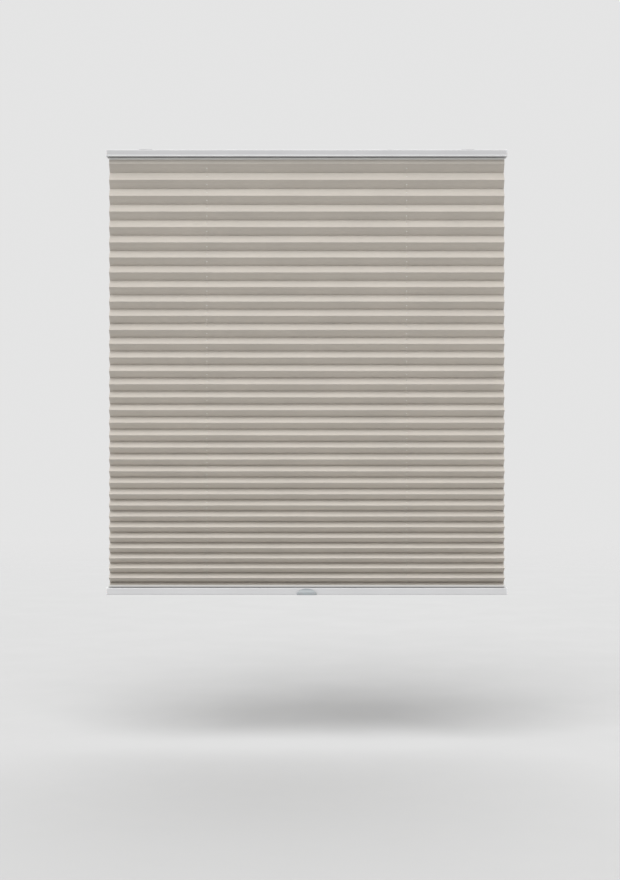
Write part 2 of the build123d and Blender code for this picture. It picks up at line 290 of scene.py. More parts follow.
class FinishSettings(bpy.types.PropertyGroup):
    """Colours of the rails and fittings."""
    rail: FloatVectorProperty(
        name="Rails", description="Powder coat of the rails", subtype="COLOR", default=(0.445, 0.445, 0.45))
    cap: FloatVectorProperty(
        name="End caps", description="Moulded end caps", subtype="COLOR", default=(0.60, 0.60, 0.605))
    strip: FloatVectorProperty(
        name="Strips", description="Moulded strips that hold the sheet", subtype="COLOR",
        default=(0.44, 0.435, 0.42))
    grip: FloatVectorProperty(
        name="Grip", description="Moulded thumb grip", subtype="COLOR", default=(0.22, 0.238, 0.247))
    gear: FloatVectorProperty(
        name="Lift gear", description="Moulded spools, cradles, plugs and eyelets", subtype="COLOR",
        default=(0.72, 0.72, 0.70))
    steel: FloatVectorProperty(
        name="Steel", description="Zinc-plated steel", subtype="COLOR", default=(0.62, 0.62, 0.63))


class StageSettings(bpy.types.PropertyGroup):
    """Camera, light and floor."""
    distance: FloatProperty(
        name="Camera distance", description="From the camera to the blind", default=3.0, unit="LENGTH")
    eye_height: FloatProperty(
        name="Camera height", description="Height of the camera, from the top of the blind", default=-0.5947,
        unit="LENGTH")
    eye_side: FloatProperty(
        name="Camera side", description="How far the camera stands to the right of the blind's middle",
        default=0.0066, unit="LENGTH")
    lens: FloatProperty(name="Lens", description="Focal length in millimetres", default=59.8)
    floor_drop: FloatProperty(
        name="Floor", description="Height of the floor, from the top of the blind", default=-1.22,
        unit="LENGTH")


class BlindSettings(bpy.types.PropertyGroup):
    """Everything that can be set on the blind."""
    rail: PointerProperty(type=RailSettings)
    sheet: PointerProperty(type=SheetSettings)
    cord: PointerProperty(type=CordSettings)
    spring: PointerProperty(type=SpringSettings)
    finish: PointerProperty(type=FinishSettings)
    stage: PointerProperty(type=StageSettings)


# ------------------------------------------------------------------ small tools
def deselect():
    """Nothing selected and nothing active, so that an operator acts on the new piece alone."""
    if bpy.context.object and bpy.context.object.mode != "OBJECT":
        bpy.ops.object.mode_set(mode="OBJECT")
    bpy.ops.object.select_all(action="DESELECT")


def pick(piece):
    """Makes one piece the selected and active one."""
    deselect()
    piece.select_set(True)
    bpy.context.view_layer.objects.active = piece


def place_mesh(piece):
    """Moves the object's place into its mesh."""
    pick(piece)
    bpy.ops.object.transform_apply(location=True, rotation=True, scale=True)


def apply_modifiers(piece):
    """Applies every modifier, in order."""
    pick(piece)
    for modifier in list(piece.modifiers):
        bpy.ops.object.modifier_apply(modifier=modifier.name)


def smooth(piece, degrees=35):
    """Smooth shading, with edges sharper than this kept crisp."""
    pick(piece)
    bpy.ops.object.shade_smooth_by_angle(angle=math.radians(degrees))


def recalculate_normals(piece):
    """Turns every face outwards."""
    pick(piece)
    bpy.ops.object.mode_set(mode="EDIT")
    bpy.ops.mesh.select_all(action="SELECT")
    bpy.ops.mesh.normals_make_consistent(inside=False)
    bpy.ops.object.mode_set(mode="OBJECT")


def paint(piece, material):
    """Gives a piece one material."""
    piece.data.materials.clear()
    piece.data.materials.append(material)


def new_piece(name, vertices, faces):
    """A mesh object from points and faces."""
    mesh = bpy.data.meshes.new(name)
    mesh.from_pydata([tuple(v) for v in vertices], [], faces)
    mesh.update()
    piece = bpy.data.objects.new(name, mesh)
    bpy.context.scene.collection.objects.link(piece)
    return piece


def tint(colour, factor=1.0):
    """A colour setting as a plain tuple, made darker or paler by a factor."""
    return tuple(factor * part for part in colour)


# ------------------------------------------------------------------ materials
class Finish:
    """A material's node tree, with short calls for the nodes that it needs."""

    def __init__(self, name, colour, roughness, metallic=0.0):
        self.material = bpy.data.materials.new(name)
        self.material.use_nodes = True
        self.tree = self.material.node_tree
        self.shader = self.tree.nodes["Principled BSDF"]
        self.output = self.tree.nodes["Material Output"]
        self.shader.inputs["Base Color"].default_value = (*colour, 1)
        self.shader.inputs["Roughness"].default_value = roughness
        self.shader.inputs["Metallic"].default_value = metallic
        self.colour = colour
        self.coordinates = self.tree.nodes.new("ShaderNodeTexCoord")

    def node(self, kind, **values):
        """A new node with these properties."""
        made = self.tree.nodes.new(kind)
        for key, value in values.items():
            setattr(made, key, value)
        return made

    def link(self, source, target):
        """Joins two sockets."""
        self.tree.links.new(source, target)

    def mapped(self, scale, output="Object"):
        """Coordinates stretched by a scale on each axis."""
        mapping = self.node("ShaderNodeMapping")
        mapping.inputs["Scale"].default_value = scale
        self.link(self.coordinates.outputs[output], mapping.inputs["Vector"])
        return mapping.outputs["Vector"]

    def noise(self, scale, detail=2.0, vector=None):
        """A noise value, on Object coordinates unless told otherwise."""
        noise = self.node("ShaderNodeTexNoise")
        noise.inputs["Scale"].default_value = scale
        noise.inputs["Detail"].default_value = detail
        self.link(vector or self.coordinates.outputs["Object"], noise.inputs["Vector"])
        return noise.outputs["Fac"]

    def spread(self, value, low, high, old_low=0.3, old_high=0.7):
        """A value spread over a new range."""
        spread = self.node("ShaderNodeMapRange")
        spread.inputs["From Min"].default_value = old_low
        spread.inputs["From Max"].default_value = old_high
        spread.inputs["To Min"].default_value = low
        spread.inputs["To Max"].default_value = high
        self.link(value, spread.inputs["Value"])
        return spread.outputs["Result"]

    def math(self, operation, first, second):
        """One step of arithmetic on two sockets or numbers."""
        step = self.node("ShaderNodeMath", operation=operation)
        for socket, value in zip(step.inputs, (first, second)):
            if isinstance(value, (int, float)):
                socket.default_value = value
            else:
                self.link(value, socket)
        return step.outputs["Value"]

    def shade(self, factor):
        """The colour brightened or darkened by a factor around 1."""
        scale = self.node("ShaderNodeVectorMath", operation="SCALE")
        scale.inputs[0].default_value = self.colour
        self.link(factor, scale.inputs["Scale"])
        return scale.outputs["Vector"]

    def bump(self, height, distance, strength=1.0):
        """Raises the surface by height times distance."""
        bump = self.node("ShaderNodeBump")
        bump.inputs["Strength"].default_value = strength
        bump.inputs["Distance"].default_value = distance
        self.link(height, bump.inputs["Height"])
        return bump.outputs["Normal"]


def powder_coat(name, colour):
    """Fine satin powder coat on aluminium: a slight orange peel and faint mottle."""
    made = Finish(name, colour, roughness=0.42)
    peel = made.noise(900.0, detail=1.0)
    mottle = made.noise(14.0, detail=3.0)
    made.link(made.shade(made.spread(mottle, 0.975, 1.02)), made.shader.inputs["Base Color"])
    made.link(made.spread(made.noise(60.0), 0.38, 0.47), made.shader.inputs["Roughness"])
    made.link(made.bump(peel, 0.00004), made.shader.inputs["Normal"])
    made.shader.inputs["Coat Weight"].default_value = 0.15
    made.shader.inputs["Coat Roughness"].default_value = 0.3
    return made.material


def moulded(name, colour, roughness=0.5):
    """Injection-moulded plastic with a fine spark-eroded grain."""
    made = Finish(name, colour, roughness)
    grain = made.noise(2600.0, detail=2.0)
    drift = made.noise(25.0, detail=2.0)
    made.link(made.shade(made.spread(drift, 0.97, 1.02)), made.shader.inputs["Base Color"])
    made.link(made.spread(grain, roughness - 0.06, roughness + 0.08), made.shader.inputs["Roughness"])
    made.link(made.bump(grain, 0.00002), made.shader.inputs["Normal"])
    made.shader.inputs["Subsurface Weight"].default_value = 0.04
    made.shader.inputs["Subsurface Scale"].default_value = 0.002
    return made.material


def extruded_plastic(name, colour):
    """Extruded plastic strip, with faint die lines along X."""
    made = Finish(name, colour, roughness=0.5)
    lines = made.noise(1.0, detail=2.0, vector=made.mapped((3.0, 1600.0, 1600.0)))
    made.link(made.shade(made.spread(lines, 0.95, 1.03)), made.shader.inputs["Base Color"])
    made.link(made.spread(lines, 0.44, 0.58), made.shader.inputs["Roughness"])
    made.link(made.bump(lines, 0.00002), made.shader.inputs["Normal"])
    return made.material


def zinc_plate(name, colour, brushed=(40.0, 900.0, 900.0)):
    """Zinc-plated steel: faint drawing lines and a blotched brightness."""
    made = Finish(name, colour, roughness=0.34, metallic=1.0)
    lines = made.noise(1.0, detail=2.0, vector=made.mapped(brushed))
    blotch = made.noise(120.0, detail=3.0)
    made.link(made.shade(made.spread(blotch, 0.88, 1.06)), made.shader.inputs["Base Color"])
    patchy = made.math("ADD", lines, blotch)
    made.link(made.spread(patchy, 0.26, 0.46, 0.7, 1.3), made.shader.inputs["Roughness"])
    made.link(made.bump(lines, 0.00001), made.shader.inputs["Normal"])
    return made.material


THREAD_PITCH_DOWN = 0.00042      # from one thread to the next down the cloth, and across it
THREAD_PITCH_ACROSS = 0.00036
CLOTH_GLOW = 0.4                 # share of the light that goes through


def pleated_cloth(name, colour):
    """Plain-woven pleating cloth: threads both ways, slubs across, and light that glows through."""
    made = Finish(name, colour, roughness=0.85)
    split = made.node("ShaderNodeSeparateXYZ")
    made.link(made.coordinates.outputs["UV"], split.inputs["Vector"])
    across, down = split.outputs["X"], split.outputs["Y"]
    threads_across = made.math("SINE", made.math("MULTIPLY", down, 2 * math.pi / THREAD_PITCH_DOWN), 0.0)
    threads_down = made.math("SINE", made.math("MULTIPLY", across, 2 * math.pi / THREAD_PITCH_ACROSS), 0.0)
    weave = made.math("MULTIPLY", threads_across, threads_down)
    slub = made.noise(1.0, detail=3.0, vector=made.mapped((60.0, 1500.0, 1.0), output="UV"))
    streak = made.noise(1.0, detail=1.0, vector=made.mapped((3.0, 330.0, 1.0), output="UV"))
    cloud = made.noise(1.0, detail=2.0, vector=made.mapped((9.0, 9.0, 1.0), output="UV"))
    tone = made.math("MULTIPLY", made.spread(slub, 0.945, 1.045), made.spread(streak, 0.98, 1.015))
    tone = made.math("MULTIPLY", tone, made.spread(cloud, 0.98, 1.02))
    shaded = made.shade(tone)
    made.link(shaded, made.shader.inputs["Base Color"])
    made.shader.inputs["Sheen Weight"].default_value = 0.12
    made.shader.inputs["Sheen Roughness"].default_value = 0.5
    made.shader.inputs["Specular IOR Level"].default_value = 0.25
    height = made.math("ADD", made.math("MULTIPLY", weave, 0.35), made.math("MULTIPLY", slub, 1.2))
    normal = made.bump(height, 0.00006, strength=0.7)
    made.link(normal, made.shader.inputs["Normal"])
    glow = made.node("ShaderNodeBsdfTranslucent")
    made.link(shaded, glow.inputs["Color"])
    mix = made.node("ShaderNodeMixShader")
    mix.inputs["Fac"].default_value = CLOTH_GLOW
    made.link(made.shader.outputs["BSDF"], mix.inputs[1])
    made.link(glow.outputs["BSDF"], mix.inputs[2])
    made.link(mix.outputs["Shader"], made.output.inputs["Surface"])
    return made.material


def braided_cord(name, colour):
    """Braided polyester cord."""
    made = Finish(name, colour, roughness=0.7)
    plait = made.node("ShaderNodeTexWave", wave_type="BANDS", bands_direction="DIAGONAL")
    plait.inputs["Scale"].default_value = 700.0
    plait.inputs["Distortion"].default_value = 1.5
    made.link(made.coordinates.outputs["Object"], plait.inputs["Vector"])
    tone = made.spread(plait.outputs["Fac"], 0.86, 1.06, 0.0, 1.0)
    made.link(made.shade(tone), made.shader.inputs["Base Color"])
    made.link(made.bump(plait.outputs["Fac"], 0.00005), made.shader.inputs["Normal"])
    made.shader.inputs["Sheen Weight"].default_value = 0.2
    return made.material


def studio_floor(name):
    """A pale floor that melts into the air far from the blind."""
    made = Finish(name, (0.39, 0.39, 0.39), roughness=0.8)
    made.link(made.spread(made.noise(6.0), 0.72, 0.88), made.shader.inputs["Roughness"])
    reach = made.node("ShaderNodeVectorMath", operation="LENGTH")
    made.link(made.coordinates.outputs["Object"], reach.inputs[0])
    fade = made.spread(reach.outputs["Value"], 0.0, 1.0, 2.0, 6.5)
    clear = made.node("ShaderNodeBsdfTransparent")
    mix = made.node("ShaderNodeMixShader")
    made.link(fade, mix.inputs["Fac"])
    made.link(made.shader.outputs["BSDF"], mix.inputs[1])
    made.link(clear.outputs["BSDF"], mix.inputs[2])
    made.link(mix.outputs["Shader"], made.output.inputs["Surface"])
    return made.material


# ------------------------------------------------------------------ the pleated sheet
STRAY_SEED = 20
STRAY_SPAN = 0.8          # length along the fold over which a stray wave's rate is counted


class SheetShape:
    """Where a point of the cloth lies, from a virtual fold above the top edge to one below its foot."""

    def __init__(self, settings):
        self.folds = settings.fold_count
        self.width = settings.panel_width
        self.drops = (settings.top_drop, settings.bottom_drop)
        self.bow = settings.bow
        z = SHEET_HIGH.z + self.drop(0) / 2
        self.corners = []
        for fold in range(-1, self.folds + 1):
            drop = self.drop(min(max(fold - 0.5, 0), self.folds - 2))
            depth = math.sqrt(self.width ** 2 - drop ** 2) / 2
            self.corners.append(Vector((0, -depth if fold % 2 == 0 else depth, z)))
            z -= self.drop(min(max(fold, 0), self.folds - 2))
        start = Vector((0, -settings.top_reach, SHEET_HIGH.z))
        self.corners[0] = 2 * start - self.corners[1]
        self.panels = len(self.corners) - 1
        self.waves = self.stray_waves(settings.wander)

    def drop(self, index):
        """Height of a panel, from the topmost, 0, to the lowest."""
        return self.drops[0] + (self.drops[1] - self.drops[0]) * index / (self.folds - 2)

    def stray_waves(self, size):
        """For each fold, the slow waves by which it strays up, down, in and out."""
        chance = random.Random(STRAY_SEED)
        return [
            [
                (size * chance.uniform(0.3, 1.0) / (1 + wave), chance.uniform(1.2, 3.0) * (1 + wave),
                 chance.uniform(0, 2 * math.pi), axis)
                for axis in (1, 2) for wave in range(3)
            ]
            for _ in self.corners
        ]

    def corner(self, index, x):
        """A fold's place at this x."""
        place = self.corners[index].copy()
        for size, rate, phase, axis in self.waves[index]:
            place[axis] += size * math.sin(rate * 2 * math.pi * x / STRAY_SPAN + phase)
        return place

    def point(self, panel, x, share):
        """A point of a panel at this x, at a share of the way from its upper fold to its lower one."""
        upper, lower = self.corner(panel, x), self.corner(panel + 1, x)
        chord = lower - upper
        along = 2 * share - 1
        bulge = -self.bow * along * (1 - along ** 2)
        side = math.copysign(1.0, chord.y)
        outward = Vector((0, -chord.z * side, abs(chord.y))) / chord.length
        place = upper + chord * share + outward * bulge
        place.x = x
        return place


def blend_shares(shape, heights):
    """How much of the bottom rail's travel a height takes part in: 0 at the sheet's top, 1 at its foot.

    Each panel gives up height in proportion to what it has over its height in the tight stack, so that
    all the pleats close up together.
    """
    travel = RAIL_SLIDE["range_m"][1]
    tops = [SHEET_HIGH.z] + [corner.z for corner in shape.corners[1:-1]] + [SHEET_LOW.z]
    drops = -np.diff(tops)
    stacked = (drops.sum() - travel) / drops.sum() * drops.mean()
    share = np.concatenate([[0], np.cumsum((drops - stacked).clip(0))])
    return np.interp(-np.array(heights), -np.array(tops), share / share[-1])


def blend_by_pleats(piece, shape, heights=None):
    """The piece stretches between head and bottom rail, pleat by pleat, each point by its height."""
    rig.blend(piece, "head", "bottom", start=(0, 0, SHEET_HIGH.z), end=(0, 0, SHEET_LOW.z))
    if heights is None:
        heights = [vertex.co.z for vertex in piece.data.vertices]
    shares = blend_shares(shape, heights).astype(np.float32)
    piece.data.attributes["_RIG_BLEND"].data.foreach_set("value", shares)


PANEL_STOPS = (0.0, 0.02, 0.06, 0.15, 0.3, 0.4, 0.5, 0.6, 0.7, 0.85, 0.94, 0.98)
HOLE_STOPS = (0.3, 0.4, 0.5, 0.6, 0.7)
HOLE_BLOCK = 0.004        # half the width of the square of cloth around a hole
HOLE_COLUMNS = 4          # columns of faces across that square
COLUMN_STEP = 0.027


def sheet_columns(cord_places):
    """The x of each column of points, with five columns to each line of holes."""
    half = (SHEET_HIGH.x - SHEET_LOW.x) / 2
    count = round(2 * half / COLUMN_STEP)
    even = [-half + 2 * half * i / count for i in range(count + 1)]
    kept = [x for x in even if min(abs(x - c) for c in cord_places) > 2 * HOLE_BLOCK]
    steps = range(-HOLE_COLUMNS // 2, HOLE_COLUMNS // 2 + 1)
    near = [c + HOLE_BLOCK * step / 2 for c in cord_places for step in steps]
    return sorted(kept + near)


def sheet_mesh(settings):
    """The cloth as a single layer of faces with punched holes, and its shape."""
    shape = SheetShape(settings)
    cord_places = (-CORD_X, CORD_X)
    columns = sheet_columns(cord_places)
    vertices, uvs, faces = [], [], []

    def add(panel, x, share):
        vertices.append(shape.point(panel, x, share))
        uvs.append((x, (panel + share) * shape.width))
        return len(vertices) - 1

    rows = [(0, share) for share in PANEL_STOPS if share >= 0.5]
    rows += [(panel, share) for panel in range(1, shape.panels - 1) for share in PANEL_STOPS]
    rows += [(shape.panels - 1, share) for share in PANEL_STOPS if share <= 0.5]
    grid = {}
    for r, (panel, share) in enumerate(rows):
        for c, x in enumerate(columns):
            grid[r, c] = add(panel, x, share)
    for c, x in enumerate(columns):
        vertices[grid[0, c]].z = HEAD_STRIP_LOW.z
        vertices[grid[len(rows) - 1, c]].z = FOOT_STRIP_HIGH.z

    holed = set()
    for cord in cord_places:
        first = min(range(len(columns)), key=lambda c: abs(columns[c] - (cord - HOLE_BLOCK)))
        for panel in range(1, shape.panels):
            held = [r for r, row in enumerate(rows) if row[0] == panel and row[1] in HOLE_STOPS]
            holed.update((r, c) for r in held[:-1] for c in range(first, first + HOLE_COLUMNS))
            faces += hole_faces(add, grid, rows, columns, held, first, cord, panel, settings)

    for r in range(len(rows) - 1):
        for c in range(len(columns) - 1):
            if (r, c) not in holed:
                faces.append((grid[r, c], grid[r + 1, c], grid[r + 1, c + 1], grid[r, c + 1]))

    # the points inside the holes belong to no face and are left out
    used = sorted({index for face in faces for index in face})
    fresh = {index: place for place, index in enumerate(used)}
    faces = [tuple(fresh[index] for index in face) for face in faces]
    return [vertices[index] for index in used], [uvs[index] for index in used], faces, shape


def hole_faces(add, grid, rows, columns, held, first, cord, panel, settings):
    """The ring of faces between a round hole and the square of cloth around it, or half at the foot."""
    width = settings.panel_width
    last_column = first + HOLE_COLUMNS
    edge = [(held[0], c) for c in range(first, last_column)]
    edge += [(r, last_column) for r in held[:-1]]
    edge += [(held[-1], c) for c in range(last_column, first, -1)]
    edge += [(r, first) for r in reversed(held[1:])]
    half_hole = rows[held[-1]][1] <= 0.5
    if half_hole:
        corner = edge.index((held[-1], last_column))
        start = edge.index((held[-1], first))
        edge = edge[start:] + edge[:corner + 1]
    ring = []
    for r, c in edge:
        dx = columns[c] - cord
        ds = (rows[r][1] - 0.5) * width
        reach = math.hypot(dx, ds)
        ring.append(add(panel, cord + dx / reach * settings.hole_radius,
                        0.5 + ds / reach * settings.hole_radius / width))
    outer = [grid[place] for place in edge]
    pairs = len(edge) - 1 if half_hole else len(edge)
    made = []
    for i in range(pairs):
        j = (i + 1) % len(edge)
        made.append((outer[i], ring[i], ring[j], outer[j]))
    return made


class BLIND_OT_pleated_sheet(bpy.types.Operator):
    """Add the pleated sheet, with soft folds and a punched hole in every panel for each cord."""
    bl_idname = "blind.pleated_sheet"
    bl_label = "Pleated Sheet"

    def execute(self, context):
        settings = context.scene.pleated_blind.sheet
        vertices, uvs, faces, shape = sheet_mesh(settings)
        piece = new_piece("pleated_sheet", vertices, faces)
        layer = piece.data.uv_layers.new(name="cloth")
        for loop in piece.data.loops:
            layer.data[loop.index].uv = uvs[loop.vertex_index]
        recalculate_normals(piece)
        wall = piece.modifiers.new("thickness", "SOLIDIFY")
        wall.thickness = settings.thickness
        wall.offset = 0
        apply_modifiers(piece)
        smooth(piece, 50)
        paint(piece, pleated_cloth("pleating_cloth", tint(settings.colour)))
        # both skins take part by the height of the cloth's middle, so that it keeps its thickness
        skins = np.array([vertex.co.z for vertex in piece.data.vertices]).reshape(2, len(vertices))
        blend_by_pleats(piece, shape, np.tile(skins.mean(axis=0), 2))
        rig.replaces(piece, "pleated_fabric")
        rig.slot(piece, "pleated_fabric")
        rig.sheet(
            piece,
            flat=(SHEET_HIGH.x - SHEET_LOW.x, settings.fold_count * settings.panel_width),
            held="hung",
            rests_on=["head_fabric_strip"],
        )
        return {"FINISHED"}


# ------------------------------------------------------------------ the lift cords
def cord_route(side, settings):
    """The cord's points: its turns on the spool, and the straight run down to its anchor."""
    radius = SHAFT_Y          # the cord comes off the spool right above its straight run
    steps = 16
    turns = math.floor((CORD_HIGH.x - CORD_X) / settings.pitch - 0.5)
    points = []
    for step in range(turns * steps, 0, -1):
        turn = step / steps
        angle = 2 * math.pi * turn
        points.append((
            side * (CORD_X + settings.pitch * turn),
            SHAFT_Y - radius * math.cos(angle),
            SHAFT_Z + radius * math.sin(angle),
        ))
    points += [
        (side * CORD_X, 0.0, SHAFT_Z),
        (side * CORD_X, 0.0, SHEET_HIGH.z),
        (side * CORD_X, 0.0, SHEET_LOW.z),
        (side * CORD_X, 0.0, ANCHOR_LOW.z),
    ]
    return points


def cord_curve(name, points, radius, closed=False):
    """A smooth curve through the points, with a round section; a closed one is a ring."""
    curve = bpy.data.curves.new(name, "CURVE")
    curve.dimensions = "3D"
    spline = curve.splines.new("NURBS")
    spline.points.add(len(points) - 1)
    for target, point in zip(spline.points, points):
        target.co = (*point, 1)
    spline.order_u = 3
    spline.use_endpoint_u = not closed
    spline.use_cyclic_u = closed
    spline.resolution_u = 2
    curve.bevel_depth = radius
    curve.bevel_resolution = 1
    curve.use_fill_caps = not closed
    return curve


def tube_from(curve, name):
    """The curve as a mesh tube, and the points down its middle."""
    holder = bpy.data.objects.new(name, curve)
    tube = bpy.data.meshes.new_from_object(holder)
    curve.bevel_depth = 0
    line = bpy.data.meshes.new_from_object(holder)
    path = [tuple(vertex.co) for vertex in line.vertices]
    bpy.data.meshes.remove(line)
    bpy.data.objects.remove(holder)
    bpy.data.curves.remove(curve)
    piece = bpy.data.objects.new(name, tube)
    bpy.context.scene.collection.objects.link(piece)
    return piece, path


KNOT_SCALE = 0.00027      # size of the knot's loops
KNOT_STEPS = 48


def knot_points(place):
    """An overhand knot around a place, as a closed ring of points."""
    points = []
    for step in range(KNOT_STEPS):
        angle = 2 * math.pi * step / KNOT_STEPS
        points.append((
            place.x + KNOT_SCALE * (math.sin(angle) + 2 * math.sin(2 * angle)),
            place.y + KNOT_SCALE * (math.cos(angle) - 2 * math.cos(2 * angle)),
            place.z - KNOT_SCALE * 1.6 * math.sin(3 * angle),
        ))
    return points


class BLIND_OT_lift_cords(bpy.types.Operator):
    """Add the two lift cords, wound on their spools and knotted under their anchors."""
    bl_idname = "blind.lift_cords"
    bl_label = "Lift Cords"

    def execute(self, context):
        blind = context.scene.pleated_blind
        settings = blind.cord
        shape = SheetShape(blind.sheet)
        material = braided_cord("braided_cord", tint(settings.colour))
        for side, name in ((-1, "left"), (1, "right")):
            route = cord_route(side, settings)
            curve = cord_curve(f"cord_line_{name}", route, settings.diameter / 2)
            cord, path = tube_from(curve, f"lift_cord_{name}_braid")
            smooth(cord, 60)
            paint(cord, material)
            blend_by_pleats(cord, shape)
            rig.replaces(cord, f"lift_cord_{name}")
            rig.slot(cord, "cord")
            length = sum(math.dist(a, b) for a, b in zip(path, path[1:]))
            knot = self.add_knot(name, side, settings, material)
            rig.cord(
                cord, exit=path[0], length=length, diameter=settings.diameter, far_end="object",
                stiffness="limp", lay="taut", path=path, with_pieces=[knot],
            )
        return {"FINISHED"}

    def add_knot(self, name, side, settings, material):
        """The knot that holds the cord's end under its anchor."""
        middle = (CORD_LOW.z + ANCHOR_LOW.z) / 2
        points = knot_points(Vector((side * CORD_X, 0, middle)))
        curve = cord_curve(f"knot_line_{name}", points, settings.diameter / 2, closed=True)
        knot, _ = tube_from(curve, f"cord_knot_{name}")
        smooth(knot, 60)
        paint(knot, material)
        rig.slot(knot, "cord")
        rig.ride(knot, "bottom")
        return knot


# ------------------------------------------------------------------ the spring
class BLIND_OT_lift_spring(bpy.types.Operator):
    """Add the close-wound torsion spring round the lift shaft."""
    bl_idname = "blind.lift_spring"
    bl_label = "Lift Spring"

    def execute(self, context):
        settings = context.scene.pleated_blind.spring
        outer = (SPRING_HIGH.y - SPRING_LOW.y) / 2
        middle = outer - settings.wire / 2
        length = SPRING_HIGH.x - SPRING_LOW.x
        turns = math.floor((length - settings.wire) / settings.pitch)
        start = SPRING_LOW.x + (length - turns * settings.pitch) / 2
        deselect()
        bpy.ops.mesh.primitive_circle_add(
            vertices=6, radius=settings.wire / 2, fill_type="NGON",
            location=(start, SHAFT_Y - middle, SHAFT_Z))
        piece = context.object
        piece.name = "lift_spring_coil"
        pivot = bpy.data.objects.new("spring_axis", None)
        pivot.location = (start, SHAFT_Y, SHAFT_Z)
        context.scene.collection.objects.link(pivot)
        place_mesh(piece)
        coil = piece.modifiers.new("coil", "SCREW")
        coil.axis = "X"
        coil.object = pivot
        coil.angle = 2 * math.pi
        coil.screw_offset = settings.pitch
        coil.iterations = turns
        coil.steps = 14
        coil.render_steps = 14
        coil.use_merge_vertices = True
        coil.merge_threshold = 0.000001
        apply_modifiers(piece)
        bpy.data.objects.remove(pivot)
        recalculate_normals(piece)
        smooth(piece, 70)
        steel = tint(context.scene.pleated_blind.finish.steel, 0.8)
        paint(piece, zinc_plate("spring_steel", steel, brushed=(300.0, 300.0, 300.0)))
        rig.ride(piece, "head")
        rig.replaces(piece, "lift_spring")
        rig.slot(piece, "spring")
        return {"FINISHED"}


# ------------------------------------------------------------------ pieces that start from the working frame
def copy_of(node, name):
    """A merged copy of a node's mesh, free of the node."""
    pick(frame["nodes"][node])
    bpy.ops.object.duplicate()
    piece = bpy.context.object
    piece.name = name
    piece.parent = None
    for key in list(piece.keys()):
        del piece[key]
    pick(piece)
    bpy.ops.object.mode_set(mode="EDIT")
    bpy.ops.mesh.select_all(action="SELECT")
    bpy.ops.mesh.remove_doubles(threshold=0.000002)
    bpy.ops.mesh.dissolve_limited(angle_limit=math.radians(1.0))
    bpy.ops.object.mode_set(mode="OBJECT")
    return piece


def select_where(piece, test, kind="VERT"):
    """In edit mode, selects the vertices or faces whose place passes the test, and nothing else."""
    bpy.ops.mesh.select_mode(type=kind)
    bpy.ops.mesh.select_all(action="DESELECT")
    bpy.ops.object.mode_set(mode="OBJECT")
    items = piece.data.vertices if kind == "VERT" else piece.data.polygons
    for item in items:
        item.select = test(item)
    bpy.ops.object.mode_set(mode="EDIT")


FACE_SLACK = 0.0001       # how far from the front plane a face still counts as the rail's front
LIP_DEPTH = 0.00155       # how far behind the front the points of the lip lie
LIP_ROUND = 0.0009        # reach of the rounded outer corner


class BLIND_OT_head_rail(bpy.types.Operator):
    """Add the head rail, with the drip lip along its lower front edge."""
    bl_idname = "blind.head_rail"
    bl_label = "Head Rail"

    def execute(self, context):
        settings = context.scene.pleated_blind.rail
        low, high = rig.box("head_rail")
        piece = copy_of("head_rail", "head_rail_extrusion")
        bpy.ops.object.mode_set(mode="EDIT")
        for height in (settings.lip_height, settings.lip_height - settings.lip_slope):
            select_where(piece, lambda face: face.center.y < low.y + FACE_SLACK, "FACE")
            bpy.ops.mesh.bisect(plane_co=(0, 0, low.z + height), plane_no=(0, 0, 1))
        foot = low.z + settings.lip_height - settings.lip_slope + 0.00001

        def in_outer_corner(vertex):
            depth = vertex.co.y - low.y
            height = vertex.co.z - low.z
            return vertex.co.z < foot and depth < LIP_DEPTH and min(depth, height) < LIP_ROUND

        select_where(piece, in_outer_corner)
        bpy.ops.transform.translate(value=(0, -settings.lip_reach, 0))
        bpy.ops.object.mode_set(mode="OBJECT")
        recalculate_normals(piece)
        smooth(piece, 30)
        colour = tint(context.scene.pleated_blind.finish.rail)
        paint(piece, powder_coat("head_rail_powder_coat", colour))
        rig.ride(piece, "head")
        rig.replaces(piece, "head_rail")
        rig.slot(piece, "rail")
        return {"FINISHED"}


HEAD_STRIP_PAINTED_LIGHT = 1.6    # painted light: the head strip, the same plastic as the foot strip, is made paler to lift the shade the head rail casts on it


class BLIND_OT_head_strip(bpy.types.Operator):
    """Add the strip that holds the sheet's top edge, its flange kept just wider than the top pleats."""
    bl_idname = "blind.head_strip"
    bl_label = "Head Strip"

    def execute(self, context):
        blind = context.scene.pleated_blind
        piece = copy_of("head_fabric_strip", "head_strip_extrusion")
        bpy.ops.object.mode_set(mode="EDIT")
        flange = HEAD_STRIP_HIGH.y - 0.0005
        select_where(piece, lambda vertex: abs(vertex.co.y) > flange)
        share = blind.rail.flange_depth / (HEAD_STRIP_HIGH.y - HEAD_STRIP_LOW.y)
        bpy.ops.transform.resize(value=(1, share, 1), center_override=(0, 0, 0))
        bpy.ops.object.mode_set(mode="OBJECT")
        recalculate_normals(piece)
        smooth(piece, 30)
        # painted light: the head strip's colour is made paler to lift the head rail's shade on it
        colour = tint(blind.finish.strip, HEAD_STRIP_PAINTED_LIGHT)
        paint(piece, extruded_plastic("head_strip_plastic", colour))
        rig.ride(piece, "head")
        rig.replaces(piece, "head_fabric_strip")
        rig.slot(piece, "fabric_strip")
        return {"FINISHED"}


